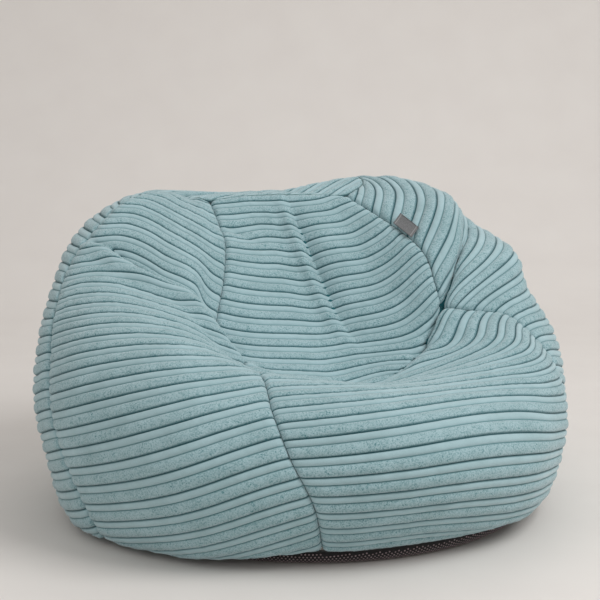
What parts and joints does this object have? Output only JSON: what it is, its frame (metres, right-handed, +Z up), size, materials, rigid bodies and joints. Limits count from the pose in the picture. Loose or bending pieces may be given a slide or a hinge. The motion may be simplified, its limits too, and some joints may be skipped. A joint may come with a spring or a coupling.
{
  "type": "bean bag chair",
  "caption": "Slumped child's bean bag chair of four jumbo-cord gores and a crown cap on a round non-slip base, with a zipped liner full of beads.",
  "frame": {"origin": "centre of the round base, on the floor plane", "axes": "+Z up; -Y is the front, the side that the sitter's legs hang over; +X is to the right seen from the front"},
  "size_m": [0.7288, 0.7316, 0.427],
  "materials": {
    "cord": "jumbo cord with a napped pile, duck-egg blue",
    "grip_fabric": "black woven fabric with small pale rubber grip dots",
    "seam_thread": "twisted polyester thread",
    "base_thread": "twisted polyester thread",
    "cover_tape": "woven zip tape",
    "cover_teeth": "moulded nylon",
    "cover_slider": "painted die-cast zinc",
    "liner_fabric": "plain woven lining",
    "liner_tape": "woven zip tape",
    "liner_teeth": "moulded nylon",
    "liner_slider": "plated",
    "beads": "expanded polystyrene beads",
    "tag_fabric": "woven satin tag",
    "label_fabric": "printed-satin ribbon, left blank"
  },
  "bodies": {
    "root": {"front_left_panel": "cord", "front_right_panel": "cord", "back_right_panel": "cord", "back_left_panel": "cord", "crown_cap": "cord", "base_front_half": "grip_fabric", "base_rear_half": "grip_fabric", "front_seam_thread": "seam_thread", "right_seam_thread": "seam_thread", "back_seam_thread": "seam_thread", "left_seam_thread": "seam_thread", "crown_seam_thread": "seam_thread", "base_seam_thread": "base_thread", "cover_zip_tape_front": "cover_tape", "cover_zip_tape_rear": "cover_tape", "cover_zip_teeth_front": "cover_teeth", "cover_zip_teeth_rear": "cover_teeth", "cover_zip_stops": "cover_slider", "cover_zip_garage": "grip_fabric", "liner_front_panel": "liner_fabric", "liner_back_panel": "liner_fabric", "liner_top": "liner_fabric", "liner_base_front": "liner_fabric", "liner_base_rear": "liner_fabric", "liner_zip_tape_front": "liner_tape", "liner_zip_tape_rear": "liner_tape", "liner_zip_teeth_front": "liner_teeth", "liner_zip_teeth_rear": "liner_teeth", "liner_zip_stops": "liner_slider", "bead_fill": "beads", "brand_tag": "tag_fabric", "care_label": "label_fabric"},
    "cover_slider": {"cover_zip_slider": "cover_slider"},
    "liner_slider": {"liner_zip_slider": "liner_slider"}
  },
  "joints": [
    {"name": "cover_zip_slide", "type": "slide", "parent": "root", "child": "cover_slider", "axis": [1, 0, 0], "range_m": [0, 0.381]},
    {"name": "liner_zip_slide", "type": "slide", "parent": "root", "child": "liner_slider", "axis": [1, 0, 0], "range_m": [0, 0.381]}
  ]
}
